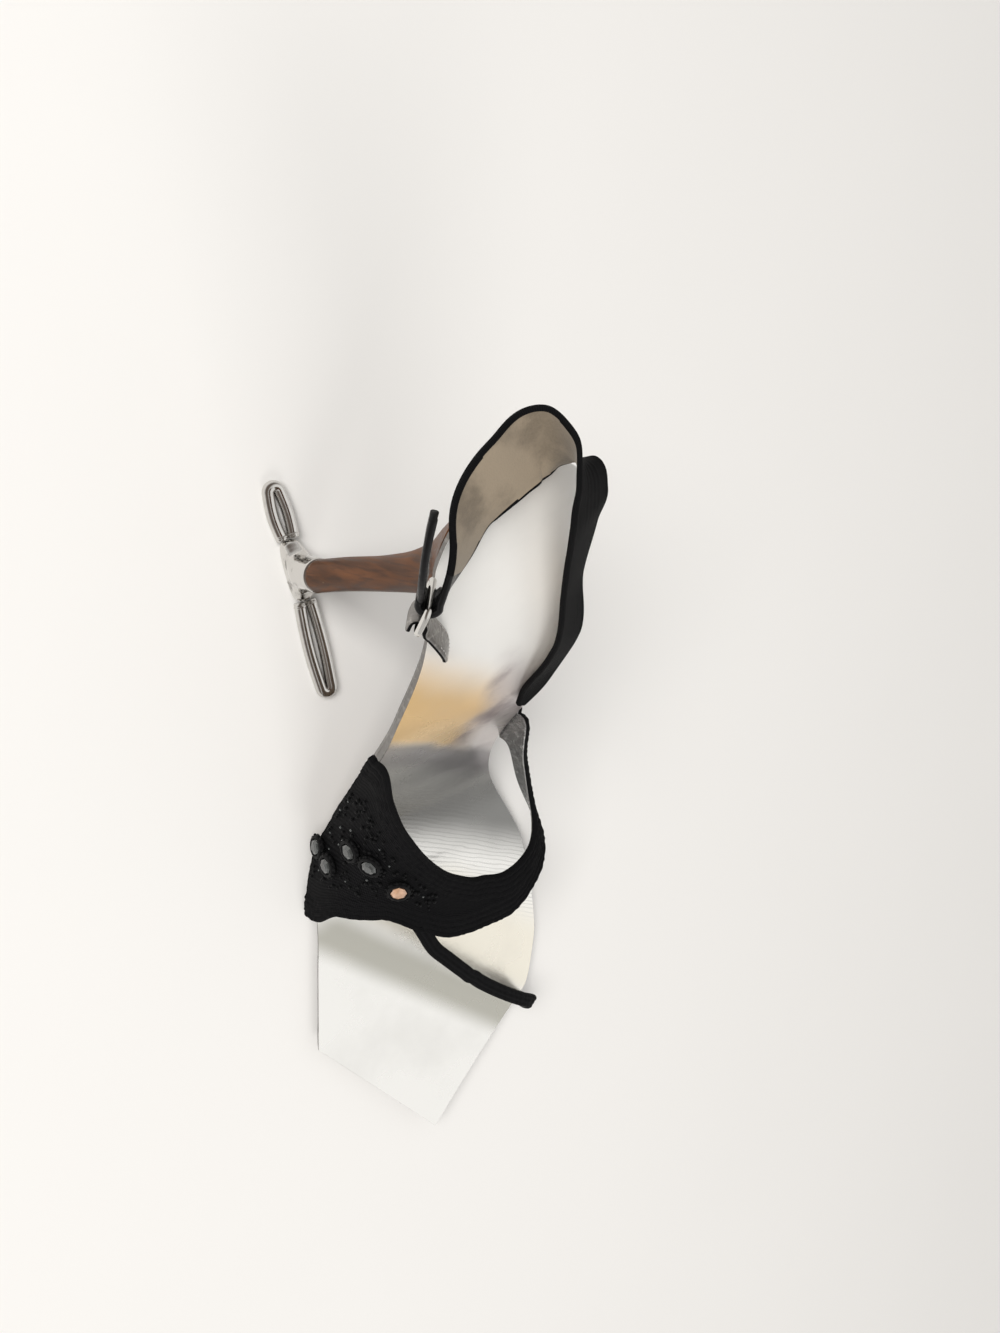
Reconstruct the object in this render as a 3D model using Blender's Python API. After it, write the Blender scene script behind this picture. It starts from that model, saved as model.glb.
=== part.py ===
"""Slingback heel, right shoe, at rest on its sole. Metres, +X to the toe, +Y to the inner side, +Z up.

The origin is on the floor, under the ball of the foot. Tables are in millimetres.
"""

from math import cos, pi, radians, sin

import bmesh
import bpy
import numpy as np
from mathutils import Vector

MM = 0.001
GAP = 0.35  # air left between neighbours

# Sole
HEEL_X, TOE_X = -135.0, 65.0  # back of the heel seat and middle of the toe's front edge
TOE_SKEW = 23.0  # the toe's inner corner leads its outer corner by twice this
HEEL_ROUND, HEEL_ANGLE = 24.0, radians(78)  # radius and half angle of the heel's back
INSOLE_T, OUTSOLE_T, OUTSOLE_INSET = 2.4, 1.75, 1.2
SOLE_ROWS = [  # x, height of the footbed, inner edge y, outer edge y
    (-135, 108.0, 4.0, -15.0),
    (-116, 97.6, 19.4, -24.8),
    (-95, 85.5, 20.0, -24.6),
    (-72, 66.5, 19.6, -26.8),
    (-51, 40.5, 20.2, -26.0),
    (-36, 22.5, 24.5, -26.4),
    (-22, 10.6, 31.0, -29.6),
    (-8, 5.2, 38.0, -32.6),
    (-3, 4.5, 40.0, -33.7),
    (5, 4.5, 42.0, -35.0),
    (20, 4.5, 42.4, -38.1),
    (32, 4.5, 41.2, -40.1),
    (40, 4.6, 37.5, -41.2),
    (46, 4.8, 33.0, -41.9),
    (50, 4.9, 23.5, -42.4),
    (57, 5.2, 6.8, -43.0),
    (65, 5.8, -12.0, -43.5),
]

# Upper: the band over the forefoot and the thin strap in front of it, laid on an arched form
UPPER_T = 1.6
FORM_ROUND, FORM_LEAN = 0.72, 0.10  # roundness of the arch and its lean to the inner side
EDGE_GAP = 0.8  # air between the footbed's edge and the upper
EDGE_DROP = 0.1  # drop below the footbed for each degree past the edge
ARCH_ROWS = [(-70, 34), (-55, 35), (-40, 35), (-20, 33), (0, 29), (20, 23), (40, 17), (60, 12), (82, 9)]
BAND_ROWS = [  # angle round the form from the outer edge, rear rim x, front rim x
    (-30, -64.5, -0.5),
    (0, -63, -0.5),
    (20, -50.5, -5.5),
    (45, -36, -5),
    (66, -24.5, 2.5),
    (82, -14, 9.5),
    (98, -5.5, 12),
    (116, -9, 5),
    (138, -22, -6),
    (158, -38, -25),
    (180, -57, -46),
    (210, -60, -49),
]
STRAP_COLUMNS = (64, 68.5, 73)  # angles on the band's front rim where the thin strap starts
STRAP_W = 4.6
STRAP_ROWS = [  # x, angle; close together where the strap crosses the top of the form
    (10.6, 74),
    (17.1, 81),
    (21.7, 85.2),
    (24, 87),
    (26.4, 88.6),
    (28.7, 89.7),
    (31.1, 90.7),
    (33.4, 92.1),
    (35.7, 94.1),
    (38, 96.5),
    (40.2, 99.3),
    (44.7, 106.5),
    (49.5, 116.5),
    (52.1, 123.4),
    (55, 134),
    (58, 150),
    (59.6, 166),
    (60, 182),
    (60, 204),
]

# Stones on the band
STONES = [(-22, 8), (-29.5, 16), (-26.2, 31.5), (-16.5, 52), (-25.5, 0)]  # x, angle
STONE_R, BEZEL_R, BEZEL_H = 2.7, 3.5, 1.3

# Sling strap: a slack loop that has fallen to the outer side
SLING_T = 1.5
SLING_ROWS = [  # centre x, y, z, outward lean in degrees, width
    (-66.0, 13.0, 62.9, -84, 3.0),
    (-73.5, 15.0, 70.1, -75, 10.6),
    (-86.5, 14.9, 84.7, -78, 12.3),
    (-104.2, 9.2, 98.7, -67, 12.6),
    (-116.2, 5.9, 108.9, -72, 13.6),
    (-124.9, 3.2, 116.8, -75, 14.3),
    (-132.8, 0.9, 119.9, -51, 14.7),
    (-137.2, -1.2, 117.8, 5, 16.2),
    (-139.2, -4.5, 114.6, 58, 17.9),
    (-135.7, -13.4, 113.1, 72, 17.4),
    (-128.7, -20.7, 110.1, 70, 14.8),
    (-121.5, -23.8, 108.4, 54, 11.5),
    (-117.0, -26.2, 107.2, 42, 9.0),
    (-112.5, -28.6, 105.2, 30, 8.4),
]
TONGUE_W, TONGUE_LEAN, FOLD_R = 8.4, 30, 2.3
TONGUE_AIM = (0.76, -0.20, -0.62)  # direction in which the tongue enters the buckle
FREE_END = [(-120.0, -33.6, 108.8, 8.2), (-126.5, -33.8, 113.0, 7.6), (-131.5, -33.4, 116.2, 4.0)]  # x, y, z, width

# Buckle
WIRE_R, FRAME_L, FRAME_W = 0.8, 6.4, 11.4
TAB_T, TAB_W = 1.2, 7.6
TAB_TIP = [(-98.4, -23.6, 93.6, 7.0), (-94.0, -20.4, 87.4, 2.6)]  # x, y, z, width

# Heel
BASE_X, BASE_Y, BASE_TURN = -103.8, -15.6, radians(2.8)
LOOP_FRONT, LOOP_BACK = 39.5, 26.0  # reach of each loop from the stem
LOOP_R, LOOP_WIRE = 1.75, 1.55  # half width of a loop's centre line at its ends and radius of its wire
LOOP_BULGE = 0.6  # half width that a loop gains in the middle
LOOP_RISE = 1.2  # height that a loop gains from its tip to the stem
STEM_SIDES = 24
STEM_ROWS = [  # z, centre x, centre y, half length, half width
    (18.4, -103.8, -15.6, 4.6, 4.6),
    (30, -105.0, -13.4, 4.6, 4.6),
    (48, -106.4, -10.6, 4.7, 4.7),
    (62, -108.0, -8.4, 5.6, 5.4),
    (72, -109.8, -6.6, 7.6, 7.0),
    (79, -111.4, -5.6, 10.4, 9.6),
]
SEAT = (-114.0, -4.9, 18.5, 16.5)  # centre x, y, half length, half width where the stem meets the sole
FERRULE_ROWS = [  # z, half length, half width, squareness
    (0.0, 8.2, 1.7, 3.0),
    (0.7, 8.8, 2.5, 3.2),
    (2.2, 9.0, 3.3, 3.4),
    (4.2, 8.8, 3.4, 3.2),
    (5.6, 7.4, 3.8, 2.8),
    (7.4, 5.6, 4.5, 2.3),
    (9.2, 4.95, 4.95, 2.0),
    (17.4, 4.95, 4.95, 2.0),
    (18.0, 4.6, 4.6, 2.0),
]

# name: base colour, metallic, roughness
LOOKS = {
    "silver_leather": ((0.72, 0.71, 0.69), 0.7, 0.25),
    "sole_leather": ((0.30, 0.27, 0.24), 0.0, 0.6),
    "black_leather": ((0.012, 0.012, 0.014), 0.0, 0.5),
    "silver_metal": ((0.80, 0.80, 0.82), 1.0, 0.12),
    "turned_wood": ((0.20, 0.10, 0.05), 0.0, 0.45),
    "cut_stone": ((0.55, 0.55, 0.56), 0.0, 0.05),
}


def spline(xs, ys):
    """Monotone cubic through the points, carried on straight past both ends."""
    xs, ys = np.asarray(xs, float), np.asarray(ys, float)
    steps, rises = np.diff(xs), np.diff(ys)
    grades = rises / steps
    same = grades[:-1] * grades[1:] > 0
    inner = np.where(same, 2 * grades[:-1] * grades[1:] / np.where(same, grades[:-1] + grades[1:], 1), 0)
    slopes = np.concatenate([grades[:1], inner, grades[-1:]])

    def at(x):
        x = np.asarray(x, float)
        i = np.clip(np.searchsorted(xs, x) - 1, 0, len(steps) - 1)
        t = np.clip((x - xs[i]) / steps[i], 0, 1)
        rise = (
            (2 * t**3 - 3 * t**2 + 1) * ys[i]
            + (t**3 - 2 * t**2 + t) * steps[i] * slopes[i]
            + (3 * t**2 - 2 * t**3) * ys[i + 1]
            + (t**3 - t**2) * steps[i] * slopes[i + 1]
        )
        past = np.minimum(x - xs[0], 0) * slopes[0] + np.maximum(x - xs[-1], 0) * slopes[-1]
        return rise + past

    return at


def curve(rows, count):
    """Rows of numbers joined by a smooth curve, at this many even steps."""
    rows = np.asarray(rows, float)
    along = np.concatenate([[0], np.cumsum(np.linalg.norm(np.diff(rows[:, :3], axis=0), axis=1))])
    slopes = np.gradient(rows, along, axis=0)
    where = np.linspace(0, along[-1], count)
    i = np.clip(np.searchsorted(along, where) - 1, 0, len(rows) - 2)
    step = np.diff(along)[i][:, None]
    t = ((where - along[i])[:, None]) / step
    return (
        (2 * t**3 - 3 * t**2 + 1) * rows[i]
        + (t**3 - 2 * t**2 + t) * step * slopes[i]
        + (3 * t**2 - 2 * t**3) * rows[i + 1]
        + (t**3 - t**2) * step * slopes[i + 1]
    )


def unit(v):
    return v / np.linalg.norm(v, axis=-1, keepdims=True)


X, HEIGHTS, INNER, OUTER = zip(*SOLE_ROWS)
bed, inner_edge, outer_edge = spline(X, HEIGHTS), spline(X, INNER), spline(X, OUTER)
arch = spline(*zip(*ARCH_ROWS))


def bed_normal(x):
    slope = (bed(x + 0.5) - bed(x - 0.5)) / 1.0
    return unit(np.stack([-slope, np.zeros_like(slope), np.ones_like(slope)], axis=-1))


def skew(u):
    return TOE_SKEW * np.clip((u - 0.7) / 0.3, 0, 1) ** 2


def sides(x):
    """The footbed's outer and inner edges at x, the toe's skew allowed for."""
    found = []
    for side, edge in ((-1, outer_edge), (1, inner_edge)):
        at = x
        for _ in range(8):
            at = x - side * skew((at - HEEL_X) / (TOE_X - HEEL_X))
        found.append(edge(at))
    return found


def footbed(u, v, inset=0.0, drop=0.0):
    """Point of the footbed: u from heel to toe, v from the outer edge at -1 to the inner edge at 1."""
    left = np.clip(1 - u / 0.45, 0, 1)
    back = HEEL_X + inset + (TOE_X - HEEL_X - 2 * inset) * u
    bulge = HEEL_ROUND * left**1.5
    edge = back + bulge * (1 - cos(HEEL_ANGLE))
    x = back + bulge * (1 - np.cos(HEEL_ANGLE * v)) + skew(u) * v
    across = left * np.sin(HEEL_ANGLE * v) / sin(HEEL_ANGLE) + (1 - left) * v
    half = (inner_edge(edge) - outer_edge(edge)) / 2 - inset
    y = (inner_edge(edge) + outer_edge(edge)) / 2 + across * half
    return np.stack([x, y, bed(x)], axis=-1) - drop * bed_normal(x)


def form(x, angle, lift=0.0):
    """Point of the arched form that the upper lies on: angle 0 at the outer edge, 180 at the inner edge."""
    x, angle = np.broadcast_arrays(np.asarray(x, float), np.asarray(angle, float))
    turn = np.radians(np.clip(angle, 0, 180))
    low, high = sides(x)
    middle, half = (high + low) / 2, (high - low) / 2 + EDGE_GAP
    rise = np.abs(np.sin(turn)) ** FORM_ROUND * arch(x)
    y = middle - np.sign(np.cos(turn)) * np.abs(np.cos(turn)) ** FORM_ROUND * half + FORM_LEAN * rise * np.sin(turn)
    past = np.maximum(-angle, 0) + np.maximum(angle - 180, 0)
    point = np.stack([x, y, bed(x) + rise - EDGE_DROP * past], axis=-1)
    return point + lift * form_normal(x, angle) if lift else point


def form_normal(x, angle):
    along = form(x + 0.5, angle) - form(x - 0.5, angle)
    round_ = form(x, angle + 1.0) - form(x, angle - 1.0)
    return unit(np.cross(along, round_))


def add(name, bm, look):
    """Finish a bmesh as one named object with its own material."""
    bmesh.ops.recalc_face_normals(bm, faces=bm.faces)
    bmesh.ops.scale(bm, vec=Vector((MM, MM, MM)), verts=bm.verts)
    mesh = bpy.data.meshes.new(name)
    bm.to_mesh(mesh)
    bm.free()
    obj = bpy.data.objects.new(name, mesh)
    bpy.context.scene.collection.objects.link(obj)
    colour, metallic, roughness = LOOKS[look]
    material = bpy.data.materials.new(name)
    material.use_nodes = True
    shader = material.node_tree.nodes["Principled BSDF"]
    shader.inputs["Base Color"].default_value = (*colour, 1)
    shader.inputs["Metallic"].default_value = metallic
    shader.inputs["Roughness"].default_value = roughness
    mesh.materials.append(material)
    return obj


def net(bm, points, wrap_rows=False, wrap_columns=False):
    """Quads over a grid of points."""
    rows = [[bm.verts.new(p) for p in row] for row in points]
    tall, wide = len(rows), len(rows[0])
    for i in range(tall if wrap_rows else tall - 1):
        for j in range(wide if wrap_columns else wide - 1):
            a, b = rows[i], rows[(i + 1) % tall]
            bm.faces.new((a[j], a[(j + 1) % wide], b[(j + 1) % wide], b[j]))
    return rows


def loft(name, rings, look):
    """Closed body through rings of points, with a flat face or a fan at each end."""
    bm = bmesh.new()
    rows = net(bm, rings, wrap_columns=True)
    bm.faces.new(rows[0][::-1])
    bm.faces.new(rows[-1])
    return add(name, bm, look)


def thicken(obj, thickness, side):
    solidify = obj.modifiers.new("wall", "SOLIDIFY")
    solidify.thickness, solidify.offset = thickness * MM, side
    solidify.use_even_offset = True
    solidify.use_quality_normals = True


def slab(name, inset, drop, thickness, look):
    """Layer of the sole, thickened down from its top face."""
    u, v = np.meshgrid(np.linspace(0, 1, 45), np.linspace(-1, 1, 11), indexing="ij")
    bm = bmesh.new()
    net(bm, footbed(u, v, inset, drop))
    obj = add(name, bm, look)
    if obj.data.polygons[0].normal.z < 0:
        obj.data.flip_normals()
    thicken(obj, thickness, -1)


def ribbon(name, centres, across, widths, thickness, look):
    """Strap of the given thickness along a path, its edges eased."""
    along = unit(np.gradient(centres, axis=0))
    across = unit(across - along * (across * along).sum(axis=1, keepdims=True))
    out = np.cross(along, across)
    half, ease = widths[:, None] / 2, 0.35
    corners = [(1, 1, 0), (1, 1, 1), (-1, 1, 1), (-1, 1, 0), (-1, -1, 0), (-1, -1, 1), (1, -1, 1), (1, -1, 0)]
    rings = np.stack(
        [
            centres
            + side * (half - ease * inward) * across
            + face * (thickness / 2 - ease * (1 - inward)) * out
            for side, face, inward in corners
        ],
        axis=1,
    )
    return loft(name, rings, look)


def wire(name, path, radius, sides, look, closed=False, level=None):
    """Round wire along a path, with one facet of its section turned down, or against level."""
    path = np.asarray(path, float)
    along = np.roll(path, -1, axis=0) - np.roll(path, 1, axis=0) if closed else np.gradient(path, axis=0)
    along = unit(along)
    if level is None:
        level = unit(np.linalg.svd(path - path.mean(axis=0))[2][2])
        level = level if level[2] > 0 else -level
    aside = unit(np.cross(along, level))
    turns = 2 * pi * (np.arange(sides) + 0.5) / sides
    rings = path[:, None] + radius * (
        np.sin(turns)[None, :, None] * aside[:, None] + np.cos(turns)[None, :, None] * level
    )
    if not closed:
        return loft(name, rings, look)
    bm = bmesh.new()
    net(bm, rings, wrap_rows=True, wrap_columns=True)
    return add(name, bm, look)


def upper():
    """The band and the thin strap as one wall."""
    angles, rear, front = zip(*BAND_ROWS)
    rear, front = spline(angles, rear), spline(angles, front)
    plain = [a for a in np.linspace(-30, 210, 41) if min(abs(a - s) for s in STRAP_COLUMNS) > 3.5]
    columns = np.array(sorted(plain + list(STRAP_COLUMNS)))
    share = np.linspace(0, 1, 9)
    x = rear(columns)[:, None] * (1 - share) + front(columns)[:, None] * share
    bm = bmesh.new()
    grid = net(bm, form(x, columns[:, None]))
    start = [grid[int(np.argmin(abs(columns - a)))][-1] for a in STRAP_COLUMNS]
    way = curve([(row[0], row[1] / 2, 0) for row in [(front(68.5), 68.5), *STRAP_ROWS]], 26)[1:]
    middle = form(way[:, 0], way[:, 1] * 2)
    along = unit(np.gradient(middle, axis=0))
    side = unit(np.cross(form_normal(way[:, 0], way[:, 1] * 2), along))
    if side[0] @ np.array(start[0].co - start[2].co) < 0:
        side = -side
    last = start
    for point, across in zip(middle, side):
        row = [bm.verts.new(point + s * STRAP_W / 2 * across) for s in (1, 0, -1)]
        for j in range(2):
            bm.faces.new((last[j], last[j + 1], row[j + 1], row[j]))
        last = row
    obj = add("vamp_upper", bm, "black_leather")
    top = max(obj.data.polygons, key=lambda face: face.center.z - abs(face.center.x) * 0.5)
    if top.normal.z < 0:
        obj.data.flip_normals()
    thicken(obj, UPPER_T, 1)


def stones():
    for number, (x, angle) in enumerate(STONES, 1):
        out = form_normal(np.float64(x), np.float64(angle))
        seat = form(x, angle) + out * (UPPER_T + GAP)
        aside = unit(np.cross(out, (0, 0, 1.0)))
        above = np.cross(aside, out)
        turns = 2 * pi * np.arange(16) / 16

        def ring(radius, height):
            return [seat + radius * (cos(t) * aside + sin(t) * above) + height * out for t in turns]

        bowl = [ring(BEZEL_R - 0.3, 0), ring(BEZEL_R, 0.4), ring(BEZEL_R, BEZEL_H), ring(BEZEL_R - 0.45, BEZEL_H + 0.2)]
        bowl += [ring(STONE_R + 0.2, BEZEL_H), ring(STONE_R - 0.6, 0.5)]
        loft(f"bezel_{number}", bowl, "black_leather")
        cut = [ring(STONE_R - 1.0, 0.8), ring(STONE_R - 0.1, BEZEL_H + 0.1), ring(STONE_R - 0.1, BEZEL_H + 0.35)]
        cut += [ring(STONE_R * 0.62, BEZEL_H + 1.0)]
        loft(f"stone_{number}", cut, "cut_stone")


def lean(along, degrees, centre):
    """Direction across the strap: upright, leaning away from the loop's middle by this angle."""
    outward = np.cross(along, (0, 0, 1.0))
    outward = unit(outward)
    if (centre - np.array((-105.0, -6.0, centre[2]))) @ outward < 0:
        outward = -outward
    upright = unit(np.array((0, 0, 1.0)) - along * along[2])
    return cos(radians(degrees)) * upright + sin(radians(degrees)) * outward


def sling():
    """The strap from its inner end round the back to the buckle, then the fold and the free end."""
    rows = curve(SLING_ROWS, 58)
    centres = rows[:, :3]
    along = unit(np.gradient(centres, axis=0))
    across = np.array([lean(t, d, c) for t, d, c in zip(along, rows[:, 3], centres)])
    aim = unit(np.array(TONGUE_AIM))
    bar = lean(aim, TONGUE_LEAN, centres[-1])
    out = np.cross(aim, bar)
    out = out if out[1] < 0 else -out
    pivot = centres[-1] + aim * 0.6 + out * FOLD_R
    turns = np.radians(np.linspace(0, 180, 11))
    fold = pivot + FOLD_R * (np.sin(turns)[:, None] * aim - np.cos(turns)[:, None] * out)
    free = curve([(*(fold[-1] - aim * 1.5), TONGUE_W), *FREE_END], 14)
    path = np.concatenate([centres, fold, free[:, :3]])
    across = np.concatenate([across, np.tile(bar, (len(fold) + len(free), 1))])
    widths = np.concatenate([rows[:, 4], np.full(len(fold), TONGUE_W), free[:, 3]])
    ribbon("sling_strap", path, across, widths, SLING_T, "black_leather")
    return pivot, aim, bar, out


def buckle(pivot, aim, bar, out):
    """The frame, its rear bar inside the tongue's fold and its front bar inside the tab's fold."""
    corners = [(s * FRAME_W / 2, e * FRAME_L / 2) for s, e in ((1, 1), (-1, 1), (-1, -1), (1, -1))]
    centre = pivot + aim * FRAME_L / 2
    path = []
    for s, e in corners:
        start = {(True, True): 0, (False, True): 1, (False, False): 2, (True, False): 3}[(s > 0, e > 0)]
        for step in range(5):
            turn = pi / 2 * (start + step / 4)
            corner = (s - np.sign(s) * 1.2 + 1.2 * cos(turn), e - np.sign(e) * 1.2 + 1.2 * sin(turn))
            path.append(centre + corner[0] * bar + corner[1] * aim)
    wire("buckle_frame", path, WIRE_R, 8, "silver_metal", closed=True)
    hold, reach = pivot + aim * FRAME_L, WIRE_R + GAP + TAB_T / 2
    turns = np.radians(np.linspace(180, 0, 9))
    fold = hold + reach * (-np.sin(turns)[:, None] * aim - np.cos(turns)[:, None] * out)
    back = fold[:1] + aim * np.array([[1.6], [0.8]])
    tail = curve([(*(fold[-1] + aim * 1.0), TAB_W), *TAB_TIP], 10)
    path = np.concatenate([back, fold, tail[:, :3]])
    widths = np.concatenate([np.full(len(back) + len(fold), TAB_W), tail[:, 3]])
    ribbon("buckle_tab", path, np.tile(bar, (len(path), 1)), widths, TAB_T, "silver_leather")


def heel():
    turns = 2 * pi * np.arange(STEM_SIDES) / STEM_SIDES
    rings = [
        np.stack([cx + a * np.cos(turns), cy + b * np.sin(turns), np.full(STEM_SIDES, z)], axis=1)
        for z, cx, cy, a, b in curve(STEM_ROWS, 16)
    ]
    cx, cy, a, b = SEAT
    x, y = cx + a * np.cos(turns), cy + b * np.sin(turns)
    under = INSOLE_T + OUTSOLE_T + 2 * GAP
    rings.append(np.stack([x, y, bed(x) - under / bed_normal(x)[:, 2] - 0.25], axis=1))
    loft("heel_stem", rings, "turned_wood")

    axis, aside = np.array((cos(BASE_TURN), sin(BASE_TURN), 0)), np.array((-sin(BASE_TURN), cos(BASE_TURN), 0))
    base = np.array((BASE_X, BASE_Y, 0.0))
    turns = 2 * pi * np.arange(32) / 32
    rings = []
    for z, a, b, square in FERRULE_ROWS:
        c, s = np.cos(turns), np.sin(turns)
        c, s = np.sign(c) * abs(c) ** (2 / square), np.sign(s) * abs(s) ** (2 / square)
        rings.append(base + a * c[:, None] * axis + b * s[:, None] * aside + np.array((0, 0, z)))
    loft("heel_ferrule", rings, "silver_metal")
    lift = np.array((0, 0, LOOP_WIRE * cos(pi / 12)))
    near = max(row[1] for row in FERRULE_ROWS) + GAP
    turns = np.radians(np.linspace(-90, 90, 13))
    for name, way, reach in (("heel_loop_front", 1, LOOP_FRONT), ("heel_loop_back", -1, LOOP_BACK)):
        far = reach - LOOP_WIRE - LOOP_R
        legs = np.linspace(near, far, 9)[:-1]
        half = LOOP_R + LOOP_BULGE * np.sin(pi * (legs - near) / (far - near))
        plan = [(p, -h) for p, h in zip(legs, half)] + [(far + LOOP_R * cos(t), LOOP_R * sin(t)) for t in turns]
        plan += [(p, h) for p, h in zip(legs[::-1], half[::-1])]
        rise = [LOOP_RISE * max(0, (far - p) / (far - near)) ** 1.6 for p, _ in plan]
        path = [base + way * p * axis + q * aside + lift + np.array((0, 0, z)) for (p, q), z in zip(plan, rise)]
        wire(name, path, LOOP_WIRE, 12, "silver_metal", level=np.array((0, 0, 1.0)))


def main():
    for obj in list(bpy.data.objects):
        bpy.data.objects.remove(obj, do_unlink=True)
    slab("insole", 0.0, 0.0, INSOLE_T, "silver_leather")
    slab("outsole", OUTSOLE_INSET, INSOLE_T + GAP, OUTSOLE_T, "sole_leather")
    upper()
    stones()
    buckle(*sling())
    heel()


main()
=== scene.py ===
"""Slingback heel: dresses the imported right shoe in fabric, foil, wood and silver, and sets its stage."""

import random
from math import cos, pi, radians, sin

import bmesh
import bpy
import numpy as np
from bpy.props import FloatProperty, FloatVectorProperty, IntProperty, PointerProperty
from mathutils import Matrix, Vector


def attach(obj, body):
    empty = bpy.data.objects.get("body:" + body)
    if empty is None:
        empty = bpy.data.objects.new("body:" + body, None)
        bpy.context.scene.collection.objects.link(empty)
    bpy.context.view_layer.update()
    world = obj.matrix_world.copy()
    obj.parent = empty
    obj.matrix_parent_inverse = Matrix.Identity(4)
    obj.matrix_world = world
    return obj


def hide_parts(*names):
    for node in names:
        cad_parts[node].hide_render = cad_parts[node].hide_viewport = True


bl_info = {
    "name": "Slingback heel",
    "version": (1, 0, 0),
    "blender": (4, 5, 0),
    "location": "View3D > Sidebar > Heel",
    "description": "Dresses the packed slingback heel and sets its stage",
    "category": "Object",
}

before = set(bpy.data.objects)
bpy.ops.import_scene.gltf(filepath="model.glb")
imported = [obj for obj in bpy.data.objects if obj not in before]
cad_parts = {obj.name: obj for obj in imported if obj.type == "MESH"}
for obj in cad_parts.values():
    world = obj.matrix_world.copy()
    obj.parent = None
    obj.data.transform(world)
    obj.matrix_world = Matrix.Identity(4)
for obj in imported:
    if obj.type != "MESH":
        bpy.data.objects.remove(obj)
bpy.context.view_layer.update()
BODY = "root"
MM = 0.001
UP = np.array((0, 0, 1.0))

# Tables in millimetres, as in the part
HEEL_X, TOE_X, TOE_SKEW = -135.0, 65.0, 23.0
HEEL_ROUND, HEEL_ANGLE = 24.0, radians(78)
HEEL_SHARE, SKEW_FROM = 0.45, 0.7  # shares of the length: heel's round to here, toe's skew from here
SOLE_ROWS = [  # x, height of the footbed, inner edge y, outer edge y
    (-135, 108.0, 4.0, -15.0),
    (-116, 97.6, 19.4, -24.8),
    (-95, 85.5, 20.0, -24.6),
    (-72, 66.5, 19.6, -26.8),
    (-51, 40.5, 20.2, -26.0),
    (-36, 22.5, 24.5, -26.4),
    (-22, 10.6, 31.0, -29.6),
    (-8, 5.2, 38.0, -32.6),
    (-3, 4.5, 40.0, -33.7),
    (5, 4.5, 42.0, -35.0),
    (20, 4.5, 42.4, -38.1),
    (32, 4.5, 41.2, -40.1),
    (40, 4.6, 37.5, -41.2),
    (46, 4.8, 33.0, -41.9),
    (50, 4.9, 23.5, -42.4),
    (57, 5.2, 6.8, -43.0),
    (65, 5.8, -12.0, -43.5),
]
ARCH_ROWS = [(-70, 34), (-55, 35), (-40, 35), (-20, 33), (0, 29), (20, 23), (40, 17), (60, 12), (82, 9)]
FORM_ROUND, FORM_LEAN, EDGE_GAP, EDGE_DROP = 0.72, 0.10, 0.8, 0.1
SOLE_GAP, TREAD_INSET, BED_SKIVE, TREAD_SKIVE, EDGE_ROUND = 0.35, 1.5, 1.0, 1.3, 0.4
CORD_SINK, CORD_RISE, TWIST_PITCH = 0.35, 0.75, 2.9
BAND_ROWS = [  # angle round the form from the outer edge, rear rim x, front rim x
    (-30, -64.5, -0.5),
    (0, -63, -0.5),
    (20, -50.5, -5.5),
    (45, -36, -5),
    (66, -24.5, 2.5),
    (82, -14, 9.5),
    (98, -5.5, 12),
    (116, -9, 5),
    (138, -22, -6),
    (158, -38, -25),
    (180, -57, -46),
    (210, -60, -49),
]
THIN_ROWS = [  # x, angle; close together where the strap crosses the top of the form
    (10.6, 74), (17.1, 81), (21.7, 85.2), (24, 87), (26.4, 88.6), (28.7, 89.7), (31.1, 90.7),
    (33.4, 92.1), (35.7, 94.1), (38, 96.5), (40.2, 99.3), (44.7, 106.5), (49.5, 116.5), (52.1, 123.4),
    (55, 134), (58, 150), (59.6, 166), (60, 182), (60, 204),
]
THIN_ANGLE, THIN_START = 66.0, -2.0  # where the strap starts, and how far behind the band's front rim
STONES = [(-22, 8), (-29.5, 16), (-26.2, 31.5), (-16.5, 52), (-25.5, 0)]  # x, angle
STONE_ROWS = [(0.55, 0.0), (0.95, 0.75), (0.98, 1.0), (0.80, 1.4), (0.5, 1.75)]  # radius share, height
PEACH, BEAD_RIM, BEAD_STEP, SPARK_SHARE = 4, 9.0, 0.9, 0.08  # beads keep clear of the rims and each other
SLING_ROWS = [  # centre x, y, z, outward lean in degrees, width
    (-66.0, 13.0, 62.9, -84, 3.0),
    (-73.5, 15.0, 70.1, -75, 10.6),
    (-86.5, 14.9, 84.7, -78, 12.3),
    (-104.2, 9.2, 98.7, -67, 12.6),
    (-116.2, 5.9, 108.9, -72, 13.6),
    (-124.9, 3.2, 116.8, -75, 14.3),
    (-132.8, 0.9, 119.9, -51, 14.7),
    (-137.2, -1.2, 117.8, 5, 16.2),
    (-139.2, -4.5, 114.6, 58, 17.9),
    (-135.7, -13.4, 113.1, 72, 17.4),
    (-128.7, -20.7, 110.1, 70, 14.8),
    (-121.5, -23.8, 108.4, 54, 11.5),
    (-117.0, -26.2, 107.2, 42, 9.0),
    (-112.5, -28.6, 105.2, 30, 8.4),
]
SLING_MIDDLE, ROLL, STRAP_SQUARE = (-105.0, -6.0), 1.3, 7.0  # loop's middle, rolled edge, section
TONGUE_W, TONGUE_LEAN, FOLD_R = 8.4, 30, 2.3
TONGUE_AIM = (0.76, -0.20, -0.62)
FREE_END = [(-120.0, -33.6, 108.8, 8.2), (-126.5, -33.8, 113.0, 7.6), (-131.5, -33.4, 116.2, 4.0)]
TAB_TIP = [(-98.4, -23.6, 93.6, 7.0), (-94.0, -20.4, 87.4, 2.6)]
FRAME_L, FRAME_W, FRAME_CORNER, FRAME_R = 6.4, 11.4, 1.2, 0.8
TAB_W, TAB_THICK, TAB_GAP, STITCH_L, STITCH_R = 7.6, 1.2, 0.35, 1.1, 0.16
BASE_X, BASE_Y, BASE_TURN = -103.8, -15.6, radians(2.8)
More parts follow.
